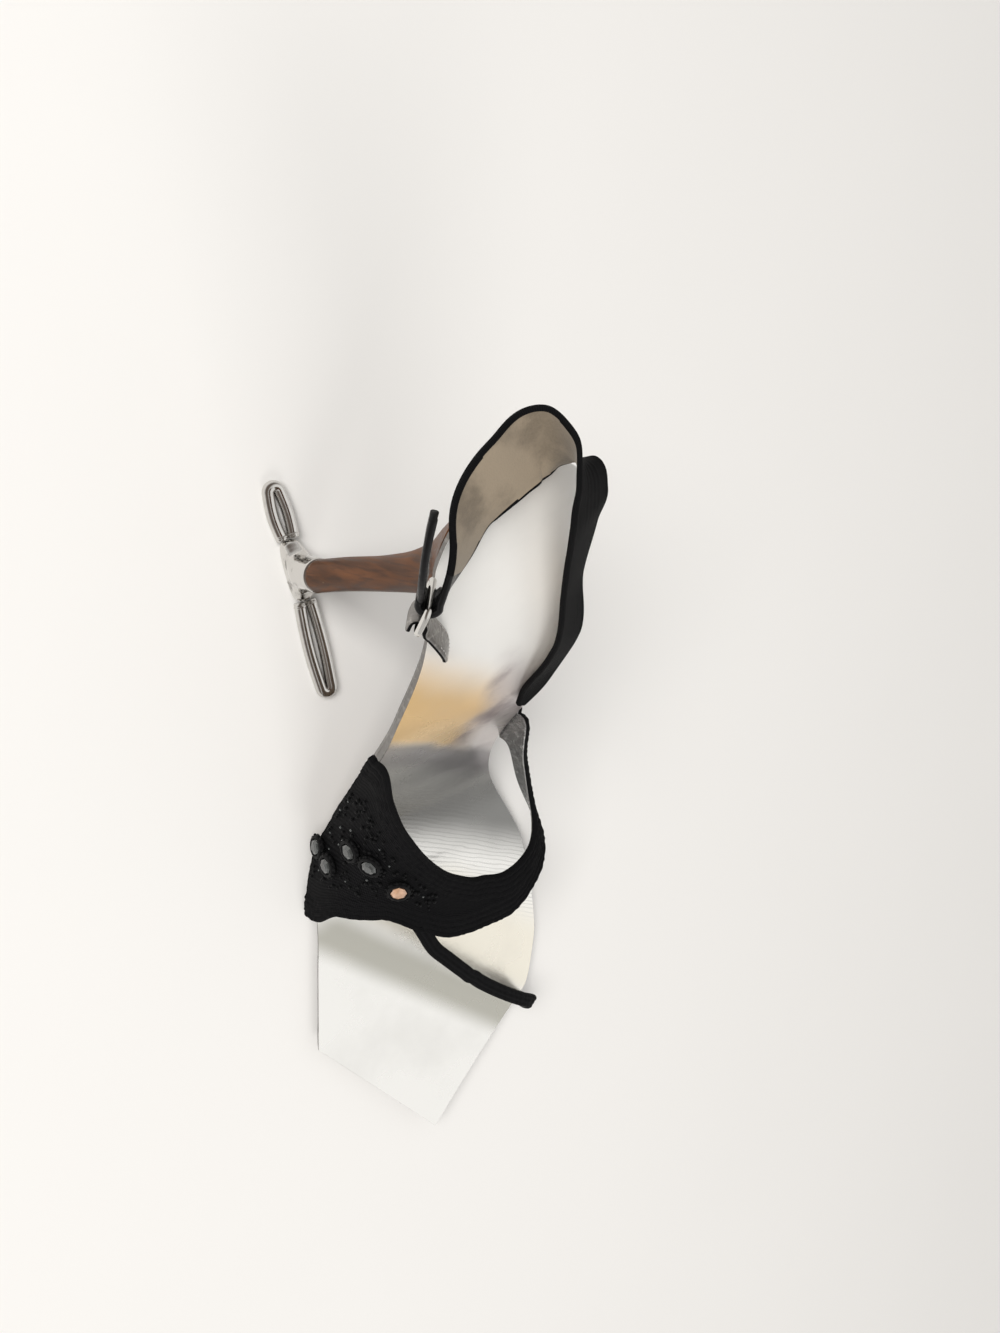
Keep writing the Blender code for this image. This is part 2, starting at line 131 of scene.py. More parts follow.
STEM_ROWS = [  # z, centre x, centre y, half length, half width
    (18.4, -103.8, -15.6, 4.6, 4.6),
    (30, -105.0, -13.4, 4.6, 4.6),
    (48, -106.4, -10.6, 4.7, 4.7),
    (62, -108.0, -8.4, 5.6, 5.4),
    (72, -109.8, -6.6, 7.6, 7.0),
    (79, -111.4, -5.6, 10.4, 9.6),
]
SEAT = (-114.0, -4.9, 18.5, 16.5)  # centre x, centre y, half length, half width
STEM_GAP, STEM_SHARE = 0.7, 0.9  # gaps under the soles, share of the stem below its flare
FERRULE_ROWS = [  # z, half length, half width, squareness
    (0.0, 8.2, 1.7, 3.0),
    (0.7, 8.8, 2.5, 3.2),
    (2.2, 9.0, 3.3, 3.4),
    (4.2, 8.8, 3.4, 3.2),
    (5.6, 7.4, 3.8, 2.8),
    (7.4, 5.6, 4.5, 2.3),
    (9.2, 4.95, 4.95, 2.0),
    (17.4, 4.95, 4.95, 2.0),
    (18.0, 4.6, 4.6, 2.0),
]
LOOP_FRONT, LOOP_BACK, LOOP_R, LOOP_BULGE, LOOP_RISE, COLLAR_R = 39.5, 26.0, 1.75, 0.6, 1.2, 0.38

# Camera, read from the photo, and light, in metres
CAMERA_PLACE = (-0.1712, -0.1437, 0.3080)
CAMERA_RIGHT, CAMERA_AIM = (0.160, 0.810, 0.564), (0.308, 0.502, -0.808)
CAMERA_LENS = 31.66
KEY_PLACE, FILL_PLACE, FILL_SHARE = (-0.75, -0.9, 1.3), (1.2, -0.4, 1.1), 0.35
LIGHT_AIM, LIGHT_SIZE, LIGHT_TINT = (-0.04, 0, 0.04), 0.9, (1.0, 0.98, 0.95)
WINDOW_WAY, FLOOR_HALF = (0.45, 0.55, 0.70), 4.0
SATIN_END = (-0.084, -0.060)  # where the footbed's satin heel turns to bright foil


def hermite(t, step, ends, slopes):
    """Cubic between two values with a slope at each, t from 0 to 1 over the step."""
    return (
        (2 * t**3 - 3 * t**2 + 1) * ends[0]
        + (t**3 - 2 * t**2 + t) * step * slopes[0]
        + (3 * t**2 - 2 * t**3) * ends[1]
        + (t**3 - t**2) * step * slopes[1]
    )


def spline(xs, ys):
    """Monotone cubic through the points, carried on straight past both ends."""
    xs, ys = np.asarray(xs, float), np.asarray(ys, float)
    steps = np.diff(xs)
    grades = np.diff(ys) / steps
    same = grades[:-1] * grades[1:] > 0
    inner = np.where(same, 2 * grades[:-1] * grades[1:] / np.where(same, grades[:-1] + grades[1:], 1), 0)
    slopes = np.concatenate([grades[:1], inner, grades[-1:]])

    def at(x):
        x = np.asarray(x, float)
        i = np.clip(np.searchsorted(xs, x) - 1, 0, len(steps) - 1)
        t = np.clip((x - xs[i]) / steps[i], 0, 1)
        rise = hermite(t, steps[i], (ys[i], ys[i + 1]), (slopes[i], slopes[i + 1]))
        return rise + np.minimum(x - xs[0], 0) * slopes[0] + np.maximum(x - xs[-1], 0) * slopes[-1]

    return at


def run_along(path):
    """Distance of each point along its path."""
    return np.concatenate([[0], np.cumsum(np.linalg.norm(np.diff(path, axis=0), axis=1))])


def curve(rows, count):
    """Rows of numbers joined by a smooth curve, at this many even steps."""
    rows = np.asarray(rows, float)
    along = run_along(rows[:, :3])
    slopes = np.gradient(rows, along, axis=0)
    where = np.linspace(0, along[-1], count)
    i = np.clip(np.searchsorted(along, where) - 1, 0, len(rows) - 2)
    step = np.diff(along)[i][:, None]
    t = (where - along[i])[:, None] / step
    return hermite(t, step, (rows[i], rows[i + 1]), (slopes[i], slopes[i + 1]))


def between(at, where, rows):
    """Rows of numbers read at places between them."""
    return np.stack([np.interp(at, where, column) for column in rows.T], axis=-1)


def unit(v):
    return v / np.linalg.norm(v, axis=-1, keepdims=True)


X, HEIGHTS, INNER, OUTER = zip(*SOLE_ROWS)
bed, inner_edge, outer_edge = spline(X, HEIGHTS), spline(X, INNER), spline(X, OUTER)
arch = spline(*zip(*ARCH_ROWS))
TURNS, REAR, FRONT = zip(*BAND_ROWS)
rear_rim, front_rim = spline(TURNS, REAR), spline(TURNS, FRONT)


def bed_normal(x):
    slope = bed(x + 0.5) - bed(x - 0.5)
    return unit(np.stack([-slope, np.zeros_like(slope), np.ones_like(slope)], axis=-1))


def skew(u):
    return TOE_SKEW * np.clip((u - SKEW_FROM) / (1 - SKEW_FROM), 0, 1) ** 2


def sides(x):
    """The footbed's outer and inner edges at x, the toe's skew allowed for."""
    found = []
    for side, edge in ((-1, outer_edge), (1, inner_edge)):
        at = x
        for _ in range(8):
            at = x - side * skew((at - HEEL_X) / (TOE_X - HEEL_X))
        found.append(edge(at))
    return found


def footbed(u, v, inset=0.0, drop=0.0):
    """Point of the footbed: u from heel to toe, v from the outer edge at -1 to the inner edge at 1."""
    left = np.clip(1 - u / HEEL_SHARE, 0, 1)
    back = HEEL_X + inset + (TOE_X - HEEL_X - 2 * inset) * u
    bulge = HEEL_ROUND * left**1.5
    edge = back + bulge * (1 - cos(HEEL_ANGLE))
    x = back + bulge * (1 - np.cos(HEEL_ANGLE * v)) + skew(u) * v
    across = left * np.sin(HEEL_ANGLE * v) / sin(HEEL_ANGLE) + (1 - left) * v
    half = (inner_edge(edge) - outer_edge(edge)) / 2 - inset
    y = (inner_edge(edge) + outer_edge(edge)) / 2 + across * half
    return np.stack([x, y, bed(x)], axis=-1) - drop * bed_normal(x)


def form(x, angle):
    """Point of the arched form that the upper lies on: angle 0 at the outer edge, 180 at the inner edge."""
    x, angle = np.broadcast_arrays(np.asarray(x, float), np.asarray(angle, float))
    turn = np.radians(np.clip(angle, 0, 180))
    low, high = sides(x)
    middle, half = (high + low) / 2, (high - low) / 2 + EDGE_GAP
    rise = np.abs(np.sin(turn)) ** FORM_ROUND * arch(x)
    aside = np.sign(np.cos(turn)) * np.abs(np.cos(turn)) ** FORM_ROUND * half
    y = middle - aside + FORM_LEAN * rise * np.sin(turn)
    past = np.maximum(-angle, 0) + np.maximum(angle - 180, 0)
    return np.stack([x, y, bed(x) + rise - EDGE_DROP * past], axis=-1)


def form_normal(x, angle):
    along = form(x + 0.5, angle) - form(x - 0.5, angle)
    round_ = form(x, angle + 1.0) - form(x, angle - 1.0)
    return unit(np.cross(along, round_))


# Meshes


def finish_piece(name, bm, materials, replaced=(), smooth=True):
    """Turn a bmesh in millimetres into a piece that rides on the shoe."""
    bmesh.ops.scale(bm, vec=Vector((MM, MM, MM)), verts=bm.verts)
    mesh = bpy.data.meshes.new(name)
    bm.to_mesh(mesh)
    bm.free()
    if smooth:
        mesh.shade_smooth()
    for material in materials:
        mesh.materials.append(finish(material))
    obj = bpy.data.objects.new(name, mesh)
    bpy.context.scene.collection.objects.link(obj)
    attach(obj, BODY)
    if replaced:
        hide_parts(*replaced)
    return obj


def laid_grid(along, across, place, paint=None, span=(1.0, 1.0)):
    """Grid whose points go where place(s, t) says, s and t from 0 to 1, with a UV map in metres."""
    bm = bmesh.new()
    bmesh.ops.create_grid(bm, x_segments=along, y_segments=across, size=0.5)
    flat = np.array([v.co[:] for v in bm.verts]) + 0.5
    for vert, point in zip(bm.verts, place(flat[:, 0], flat[:, 1])):
        vert.co = point
    lay = bm.loops.layers.uv.new("lay")
    for face in bm.faces:
        spots = flat[[vert.index for vert in face.verts]]
        if paint:
            face.material_index = paint(*spots.mean(axis=0)[:2])
        for loop, spot in zip(face.loops, spots):
            loop[lay].uv = (spot[0] * span[0] * MM, spot[1] * span[1] * MM)
    return bm


def close_tube(bm, ends=True):
    """Weld a grid whose t runs round, and cap its open ends."""
    bmesh.ops.remove_doubles(bm, verts=bm.verts, dist=1e-4)
    if ends:
        bmesh.ops.holes_fill(bm, edges=[edge for edge in bm.edges if edge.is_boundary], sides=0)
    bmesh.ops.recalc_face_normals(bm, faces=bm.faces)
    return bm


def strap_ring(t, width, thickness):
    """Offsets across and out for a soft-edged flat section."""
    c, s = np.cos(2 * pi * t), np.sin(2 * pi * t)
    a = np.sign(c) * np.abs(c) ** (2 / STRAP_SQUARE)
    b = np.sign(s) * np.abs(s) ** (2 / STRAP_SQUARE)
    edge = thickness / 2
    return a * (width / 2 - edge) + c * edge, b * edge * (0.55 + 0.45 * np.sqrt(np.abs(s)))


def strap_mesh(counts, rows, widths, thick, paint, span, relief=None):
    """Flat strap along rows of centres, directions across and directions out."""
    where = np.linspace(0, 1, len(widths))

    def place(s, t):
        spot, side, up = (between(s, where, row) for row in rows)
        width = np.interp(s, where, widths)
        a, b = strap_ring(t, width, thick)
        if relief:
            b = relief(s, a, b, width)
        return spot + a[:, None] * side + b[:, None] * up

    return close_tube(laid_grid(*counts, place, paint, span))


def wire_mesh(path, radius, round_count, closed=False, level=None):
    """Round wire along a path; level is the direction square to the wire's plane."""
    path = np.asarray(path, float)
    if closed:
        path = np.concatenate([path, path[:1]])
    along = np.gradient(path, axis=0)
    if closed:
        along[0] = along[-1] = path[1] - path[-2]
    if level is None:
        level = np.linalg.svd(path - path.mean(axis=0))[2][2]
    aside = unit(np.cross(unit(along), level))
    where = np.linspace(0, 1, len(path))

    def place(s, t):
        side = unit(between(s, where, aside))
        out = np.sin(2 * pi * t)[:, None] * side + np.cos(2 * pi * t)[:, None] * level
        return between(s, where, path) + radius * out

    return close_tube(laid_grid(len(path) - 1, round_count, place), ends=not closed)


def circle(centre, radius, a, b, count):
    """Points round a circle in the plane of two directions."""
    turns = [2 * pi * k / count for k in range(count)]
    return [centre + radius * (cos(turn) * a + sin(turn) * b) for turn in turns]


def join(parts):
    """One bmesh out of several."""
    whole = bmesh.new()
    for part in parts:
        mesh = bpy.data.meshes.new("part")
        part.to_mesh(mesh)
        part.free()
        whole.from_mesh(mesh)
        bpy.data.meshes.remove(mesh)
    return whole


def beads(spots, sizes):
    """Small round beads at these points."""
    bm = bmesh.new()
    for spot, size in zip(spots, sizes):
        made = bmesh.ops.create_uvsphere(bm, u_segments=8, v_segments=5, radius=size)
        bmesh.ops.translate(bm, vec=Vector(spot), verts=made["verts"])
    return bm


def stitches(points, along, out):
    """Thread stitches that lie on a surface, one at each point."""
    bm = bmesh.new()
    for point, way, up in zip(points, along, out):
        made = bmesh.ops.create_icosphere(bm, subdivisions=1, radius=STITCH_R)
        turn = Matrix((way, np.cross(up, way), up)).transposed().to_4x4()
        bmesh.ops.scale(bm, vec=Vector((STITCH_L / 2 / STITCH_R, 1, 1)), verts=made["verts"])
        bmesh.ops.transform(bm, matrix=Matrix.Translation(Vector(point)) @ turn, verts=made["verts"])
    return bm


# Materials


def put(socket, value):
    """Link a socket to another, or set its plain value."""
    if isinstance(value, bpy.types.NodeSocket):
        socket.id_data.links.new(value, socket)
    else:
        socket.default_value = value


def feed(node, **inputs):
    """Give a node its inputs; an input's name has _ for a space, or is i and its number."""
    for key, value in inputs.items():
        name = key.replace("_", " ")
        put(node.inputs[int(name[1:]) if name[1:].isdigit() else name], value)
    return node


def add(beside, kind, settings=None, **inputs):
    """New node with its settings and inputs, in the tree of a socket or node, or in a tree."""
    node = beside.id_data.nodes.new(kind)
    for key, value in (settings or {}).items():
        setattr(node, key, value)
    return feed(node, **inputs)


def calc(operation, a, b=0.0, clamp=False):
    beside = a if isinstance(a, bpy.types.NodeSocket) else b
    return add(beside, "ShaderNodeMath", {"operation": operation, "use_clamp": clamp}, i0=a, i1=b).outputs[0]


def times(a, b):
    return calc("MULTIPLY", a, b)


def plus(a, b):
    return calc("ADD", a, b)


def ramp(value, low, high, to_low=0.0, to_high=1.0):
    """Smooth step from one pair of numbers to another."""
    ends = {"From_Min": low, "From_Max": high, "To_Min": to_low, "To_Max": to_high}
    node = add(value, "ShaderNodeMapRange", {"interpolation_type": "SMOOTHSTEP"}, Value=value, **ends)
    return node.outputs["Result"]


def zone(value, *limits):
    """Mask that rises between the first two limits and falls between the last two."""
    return times(ramp(value, *limits[:2]), ramp(value, limits[3], limits[2]))


def mix(factor, a, b):
    return add(factor, "ShaderNodeMix", {"data_type": "RGBA"}, i0=factor, i6=a, i7=b).outputs[2]


def noise(place, scale, detail=3.0, **more):
    return add(place, "ShaderNodeTexNoise", Vector=place, Scale=scale, Detail=detail, **more).outputs[0]


def stretched(place, **inputs):
    return add(place, "ShaderNodeMapping", Vector=place, **inputs).outputs[0]


def bump(shader, height, strength, distance=0.0004):
    node = add(shader, "ShaderNodeBump", Height=height, Strength=strength, Distance=distance)
    feed(shader, Normal=node.outputs[0])


def colour(rgb, share=1.0):
    return (*(c * share for c in rgb), 1.0)


def node_group(name, vector, numbers, outputs):
    """Empty shader group with a vector input, number inputs and number outputs."""
    group = bpy.data.node_groups.new(name, "ShaderNodeTree")
    group.interface.new_socket(vector, in_out="INPUT", socket_type="NodeSocketVector")
    for label, default in numbers.items():
        socket = group.interface.new_socket(label, in_out="INPUT", socket_type="NodeSocketFloat")
        socket.default_value = default
    for label in outputs:
        group.interface.new_socket(label, in_out="OUTPUT", socket_type="NodeSocketFloat")
    return group, group.nodes.new("NodeGroupInput").outputs, group.nodes.new("NodeGroupOutput")


def crinkle_group():
    """Leather creases: a fine grain, with long soft folds across it."""
    numbers = {"Grain": 900.0, "Folds": 160.0, "Depth": 0.5}
    group, given, made = node_group("leather_crinkle", "Place", numbers, ("Height", "Mask"))
    place = given["Place"]
    fine = noise(place, given["Grain"], 4.0, Roughness=0.6)
    edges = {"feature": "DISTANCE_TO_EDGE"}
    cells = add(group, "ShaderNodeTexVoronoi", edges, Vector=place, Scale=given["Folds"])
    long_place = stretched(place, Scale=(2.4, 0.5, 1.0))
    folds = noise(long_place, given["Folds"], Distortion=0.8)
    crease = ramp(cells.outputs["Distance"], 0.0, 0.4)
    height = plus(times(fine, 0.35), times(crease, 0.25))
    height = plus(height, times(folds, given["Depth"]))
    feed(made, Height=height, Mask=folds)
    return group


def patches_group():
    """Soft-edged patches, for stains, rubbing, tarnish and the dark clouds in a painted reflection."""
    numbers = {"Scale": 40.0, "From": 0.45, "To": 0.65}
    group, given, made = node_group("patches", "Place", numbers, ("Mask",))
    spots = noise(given["Place"], given["Scale"], 5.0, Roughness=0.6)
    feed(made, Mask=ramp(spots, given["From"], given["To"]))
    return group


def weave_group():
    """Thread weave on a UV map: ribs across and a twist along."""
    group, given, made = node_group("thread_weave", "Lay", {"Pitch": 0.0007, "Fuzz": 0.3}, ("Height", "Mask"))
    u, v, _ = add(group, "ShaderNodeSeparateXYZ", Vector=given["Lay"]).outputs
    turns = calc("DIVIDE", 2 * pi, given["Pitch"])
    one = calc("SINE", times(plus(u, v), turns))
    two = calc("SINE", times(calc("SUBTRACT", u, v), turns))
    weave = plus(times(times(one, two), 0.5), 0.5)
    fuzz = times(noise(given["Lay"], 2600.0), given["Fuzz"])
    feed(made, Height=plus(weave, fuzz), Mask=weave)
    return group


GROUPS = {}


def grouped(beside, maker, **inputs):
    """Outputs of a shared effect placed in this material."""
    if maker not in GROUPS:
        GROUPS[maker] = maker()
    return add(beside, "ShaderNodeGroup", {"node_tree": GROUPS[maker]}, **inputs).outputs


def patches(place, scale, low, high):
    return grouped(place, patches_group, Place=place, Scale=scale, From=low, To=high)[0]


def crinkle(place, grain, folds, depth):
    """Height and mask of creased leather."""
    return grouped(place, crinkle_group, Place=place, Grain=grain, Folds=folds, Depth=depth)


def new_material(name):
    """Material with its shader and the object's own coordinates."""
    material = bpy.data.materials.new(name)
    material.use_nodes = True
    tree = material.node_tree
    place = add(tree, "ShaderNodeTexCoord").outputs["Object"]
    return material, tree.nodes["Principled BSDF"], place


def foil_leather(shader, place, base, grain, folds, depth, strength, shine):
    """Silver foil on leather, with painted highlights along its raised folds and dull rubbed patches."""
    feed(shader, Metallic=0.9)
    height, mask = crinkle(place, grain, folds, depth)
    rubbed = patches(place, 26.0, 0.48, 0.75)
    tint = mix(times(rubbed, 0.3), colour(base), colour(base, 0.6))
    # painted highlight: lighter where the folds rise
    tint = mix(ramp(mask, 0.52, 0.66, 0.0, 0.8), tint, colour(base, 1.9))
    feed(shader, Base_Color=tint, Roughness=plus(times(rubbed, 0.12), shine))
    bump(shader, height, strength)


def footbed_leather(shader, place, base):
    """The footbed's foil: a satin heel, reflections painted into its colour (gold on the arch, purple with
    dark clouds and a dark line at the arch's foot, dark grey on the creased ball under the band, pale on the
    toe with a grey diagonal), and painted shade in the ball's wrinkles.
    """
    sway = times(calc("SUBTRACT", noise(place, 34.0, 2.0), 0.5), 0.016)
    x, y, _ = add(place, "ShaderNodeSeparateXYZ", Vector=place).outputs
    x, y = plus(x, sway), plus(y, sway)
    slope = calc("SUBTRACT", x, times(y, 0.58))
    slant = calc("SUBTRACT", times(x, 0.69), times(y, 0.724))
    # Masks of reflections painted into the colour, by place on the footbed
    warm = times(zone(slope, -0.086, -0.068, -0.056, -0.050), ramp(y, 0.012, 0.000))
    inner = zone(y, -0.004, 0.005, 0.030, 0.040)
    plum_reflection = times(zone(slope, -0.092, -0.078, -0.058, -0.048), inner)
    reflection_clouds = patches(place, 55.0, 0.42, 0.72)
    ball = zone(slope, -0.052, -0.046, -0.026, -0.006)
    foot = zone(slope, -0.0555, -0.0515, -0.0495, -0.040)
    streak_reflection = zone(slant, 0.017, 0.025, 0.029, 0.037)
    cream = zone(slant, -0.014, 0.002, 0.014, 0.022)
    front = ramp(x, -0.004, 0.008)
    rubbed = patches(place, 26.0, 0.48, 0.75)
    lines = stretched(place, Rotation=(0, 0, radians(-30)), Scale=(1.0, 3.0, 1.0))
    lines.node.vector_type = "TEXTURE"
    wave = add(place, "ShaderNodeTexWave", Vector=lines, Scale=230.0, Distortion=5.0, Detail=3.0)
    wave = wave.outputs["Fac"]
    creased = zone(slope, -0.040, -0.024, 0.000, 0.014)
    tint = colour(base)
    for mask, amount, tone in (
        # painted gold reflection on the arch
        (warm, 0.95, (0.80, 0.53, 0.22)),
        # painted purple reflection near the inner side
        (plum_reflection, 0.7, (0.50, 0.44, 0.43)),
        # painted dark clouds in the purple reflection
        (times(plum_reflection, reflection_clouds), 0.85, (0.17, 0.12, 0.14)),
        # painted dark reflection of the band on the ball
        (ball, 0.9, (0.17, 0.17, 0.165)),
        # painted dark reflection line at the arch's foot
        (foot, 0.8, (0.10, 0.085, 0.10)),
        # painted pale reflection on the toe
        (times(cream, front), 0.6, (0.93, 0.86, 0.70)),
        # painted grey diagonal reflection on the toe
        (times(streak_reflection, front), 0.75, (0.36, 0.35, 0.29)),
        (rubbed, 0.15, (0.60, 0.59, 0.57)),
        # painted shade in the troughs of the ball's fine wrinkles
        (times(ramp(wave, 0.35, 0.0), creased), 0.28, (0.26, 0.26, 0.25)),
    ):
        tint = mix(times(mask, amount), tint, colour(tone))
    rough = plus(times(rubbed, 0.1), ramp(slope, *SATIN_END, 0.45, 0.26))
    feed(shader, Base_Color=tint, Metallic=ramp(slope, *SATIN_END, 0.12, 0.92), Roughness=rough)
    height, _ = crinkle(place, 700.0, 120.0, 0.55)
    bump(shader, plus(height, times(times(wave, creased), 0.5)), 0.16)


def black_fabric(shader, place, base, pitch, strength):
    """Matt black thread with a weave, painted lighter on its raised threads and darker between them, and a
    little grey lint.
    """
    feed(shader, Specular_IOR_Level=0.05)
    lay = add(place, "ShaderNodeTexCoord").outputs["UV"]
    height, mask = grouped(lay, weave_group, Lay=lay, Pitch=pitch, Fuzz=0.5)
    lint = patches(place, 420.0, 0.62, 0.8)
    # painted highlight on the raised threads, painted shade between them
    shade = mix(mask, colour(base, 0.4), colour(base, 1.8))
    shade = mix(times(lint, 0.25), shade, colour((0.03, 0.03, 0.032)))
    feed(shader, Base_Color=shade, Roughness=plus(times(lint, 0.12), 0.72))
    bump(shader, height, strength, 0.0003)


def suede(shader, place, base):
    """Stained suede lining."""
    feed(shader, Sheen_Weight=0.25, Sheen_Roughness=0.5, Specular_IOR_Level=0.2)
    nap = noise(place, 2200.0, 4.0)
    shade = mix(patches(place, 62.0, 0.42, 0.66), colour(base), colour(base, 0.48))
    shade = mix(times(nap, 0.3), shade, colour([min(1, c * 1.35) for c in base]))
    feed(shader, Base_Color=shade, Roughness=ramp(nap, 0.3, 0.7, 0.78, 0.95))
    bump(shader, nap, 0.35, 0.0003)


def turned_wood(shader, place, base):
    """Brown wood with its grain along the stem and pale scuffs."""
    feed(shader, Specular_IOR_Level=0.22)
    upright = stretched(place, Scale=(1.0, 1.0, 0.09))
    grain = noise(upright, 720.0, 6.0, Distortion=0.6)
    broad = noise(upright, 170.0)
    scuff = patches(place, 300.0, 0.66, 0.74)
    shade = mix(ramp(grain, 0.32, 0.68), colour(base, 0.4), colour(base))
    shade = mix(ramp(broad, 0.45, 0.7, 0.0, 0.55), shade, colour(base, 0.2))
    shade = mix(times(scuff, 0.35), shade, colour((0.42, 0.28, 0.18)))
    feed(shader, Base_Color=shade, Roughness=ramp(grain, 0.3, 0.7, 0.34, 0.5))
    bump(shader, grain, 0.22, 0.0003)


def polished_silver(shader, place, base, tarnish):
    """Polished silver with fine scratches and dark tarnish in the joints."""
    feed(shader, Metallic=1.0)
    spots = patches(place, 150.0, 0.52, 0.68)
    shift = stretched(place, Location=(-BASE_X * MM, -BASE_Y * MM, -0.0045))
    away = add(place, "ShaderNodeVectorMath", {"operation": "LENGTH"}, Vector=shift).outputs["Value"]
    joint = plus(ramp(away, 0.0115, 0.0055), 0.12)
    dark = calc("MULTIPLY", times(spots, tarnish), joint, True)
    scratch = noise(place, 900.0)
    rough = plus(times(dark, 0.35), ramp(scratch, 0.35, 0.7, 0.06, 0.16))
    shade = mix(dark, colour(base), colour((0.10, 0.085, 0.07)))
    feed(shader, Base_Color=shade, Roughness=rough)
    bump(shader, scratch, 0.05, 0.0003)


def black_leather(shader, place, base, coat, gleam, rough):
    """Black leather with a crazed surface, from matt to patent."""
    feed(shader, Base_Color=colour(base), Specular_IOR_Level=gleam)
    feed(shader, Coat_Weight=coat, Coat_Roughness=0.15)
    height, mask = crinkle(place, 1100.0, 420.0, 0.5)
    feed(shader, Roughness=ramp(mask, 0.3, 0.7, rough - 0.1, rough + 0.1))
    bump(shader, height, 0.3)


def cut_stone(shader, place, base):
    """Clear stone with a cloudy heart."""
    feed(shader, Roughness=0.04, IOR=1.9, Transmission_Weight=0.2)
    cloud = patches(place, 260.0, 0.4, 0.7)
    feed(shader, Base_Color=mix(cloud, colour(base), colour(base, 0.6)))


def sole_leather(shader, place, base):
    """Plain brown sole leather with scuffed fibres."""
    scuff = patches(place, 90.0, 0.45, 0.7)
    shade = mix(scuff, colour(base), colour(base, 0.6))
    feed(shader, Base_Color=shade, Roughness=ramp(scuff, 0.0, 1.0, 0.5, 0.75))
    bump(shader, noise(place, 1200.0, 4.0), 0.25)


FINISHES = {}


def finish(name):
    """One of the shoe's finishes, made once, from the colours that the user may change."""
    if name not in FINISHES:
        looks = bpy.context.scene.heel_colours
        maker, *values = {
            "footbed_foil": (footbed_leather, looks.silver),
            "lining_foil": (foil_leather, (0.42, 0.42, 0.42), 900.0, 300.0, 1.6, 1.0, 0.22),
            "tab_foil": (foil_leather, (0.22, 0.21, 0.20), 1100.0, 420.0, 0.9, 0.5, 0.32),
            "edge_foil": (foil_leather, (0.15, 0.14, 0.13), 1100.0, 300.0, 0.6, 0.4, 0.34),
            "corded_black": (black_fabric, looks.black, 0.0009, 0.55),
            "strap_black": (black_fabric, looks.black, 0.0006, 0.4),
            "suede_tan": (suede, looks.lining),
            "patent_black": (black_leather, looks.black, 0.06, 0.2, 0.38),
            "setting_black": (black_leather, looks.black, 0.0, 0.14, 0.55),
            "stem_wood": (turned_wood, looks.wood),
            "heel_silver": (polished_silver, looks.metal, 1.0),
            "buckle_silver": (polished_silver, looks.metal, 0.4),
            "grey_stone": (cut_stone, looks.stone),
            "peach_stone": (cut_stone, (0.78, 0.47, 0.30)),
            "tread_leather": (sole_leather, (0.16, 0.12, 0.09)),
        }[name]
        FINISHES[name], *nodes = new_material(name)
        maker(*nodes, *values)
    return FINISHES[name]


# Settings


def tint(name, note, rgb):
    return FloatVectorProperty(name=name, description=note, subtype="COLOR", default=rgb)


def size(name, note, metres):
    return FloatProperty(name=name, description=note, default=metres, unit="LENGTH")


class HeelColours(bpy.types.PropertyGroup):
    silver: tint("Silver foil", "Footbed foil", (0.95, 0.94, 0.915))
    black: tint("Black", "Band and strap", (0.006, 0.006, 0.0065))
    lining: tint("Lining", "Suede of the strap", (0.30, 0.245, 0.18))
    wood: tint("Wood", "Heel stem", (0.15, 0.060, 0.025))
    metal: tint("Metal", "Heel base and buckle", (0.68, 0.665, 0.64))
    stone: tint("Stones", "Cut stones", (0.055, 0.060, 0.060))


class HeelSizes(bpy.types.PropertyGroup):
    insole: size("Footbed", "Footbed thickness", 0.0024)
    outsole: size("Outsole", "Outsole thickness", 0.00175)
    upper: size("Band", "Band thickness", 0.0016)
    cord: size("Cord", "Pitch of the braided rows", 0.0023)
    thin: size("Thin strap", "Width of the slanting strap", 0.0046)
    sling: size("Sling", "Strap thickness", 0.0015)
    wire: size("Loop wire", "Radius of the heel loops' wire", 0.0017)
    stone: size("Stone", "Radius of a stone", 0.00235)
    beads: IntProperty(name="Beads", description="Beads sewn between the stones", default=120, min=0, max=400)


class HeelStage(bpy.types.PropertyGroup):
    floor: tint("Floor", "Floor colour", (0.885, 0.875, 0.86))
    key: FloatProperty(
        name="Key light", description="Power of the soft light overhead", default=26.0, unit="POWER"
    )
    sky: FloatProperty(
        name="Room light", description="Strength of the room's own light", default=0.34, min=0.0
    )


# Operators


class HEEL_OT_sole(bpy.types.Operator):
    """Make the silver footbed and the thin sole under it"""

    bl_idname = "heel.sole"
    bl_label = "Footbed and outsole"

    def layer(self, name, node, inset, drop, thickness, skive, counts, materials, slot):
        """One layer, its underside cut in so that the edge looks thin from above."""
        top = laid_grid(*counts, lambda s, t: footbed(s, 2 * t - 1, inset, drop))
        inset, drop = inset + skive, drop + thickness
        under = laid_grid(*counts, lambda s, t: footbed(s, 2 * t - 1, inset, drop), lambda s, t: 2)
        bm = join([top, under])
        rims = [edge for edge in bm.edges if edge.is_boundary]
        for face in bmesh.ops.bridge_loops(bm, edges=rims)["faces"]:
            face.material_index = 1
        bmesh.ops.recalc_face_normals(bm, faces=bm.faces)
        obj = finish_piece(name, bm, materials, (node,))
        edge = obj.modifiers.new("edge", "BEVEL")
        edge.width, edge.segments = EDGE_ROUND * MM, 2
        edge.limit_method, edge.angle_limit = "ANGLE", radians(55)
        edge.harden_normals = True

    def execute(self, context):
        sizes = context.scene.heel_sizes
        thick, sole = sizes.insole / MM, sizes.outsole / MM
        foil = ("footbed_foil", "edge_foil", "edge_foil")
        tread = ("tread_leather", "edge_foil", "tread_leather")
        self.layer("footbed", "insole", 0.0, 0.0, thick, BED_SKIVE, (190, 56), foil, "silver_leather")
        drop = thick + SOLE_GAP
        self.layer("tread", "outsole", TREAD_INSET, drop, sole, TREAD_SKIVE, (120, 36), tread, "sole_leather")
        return {"FINISHED"}


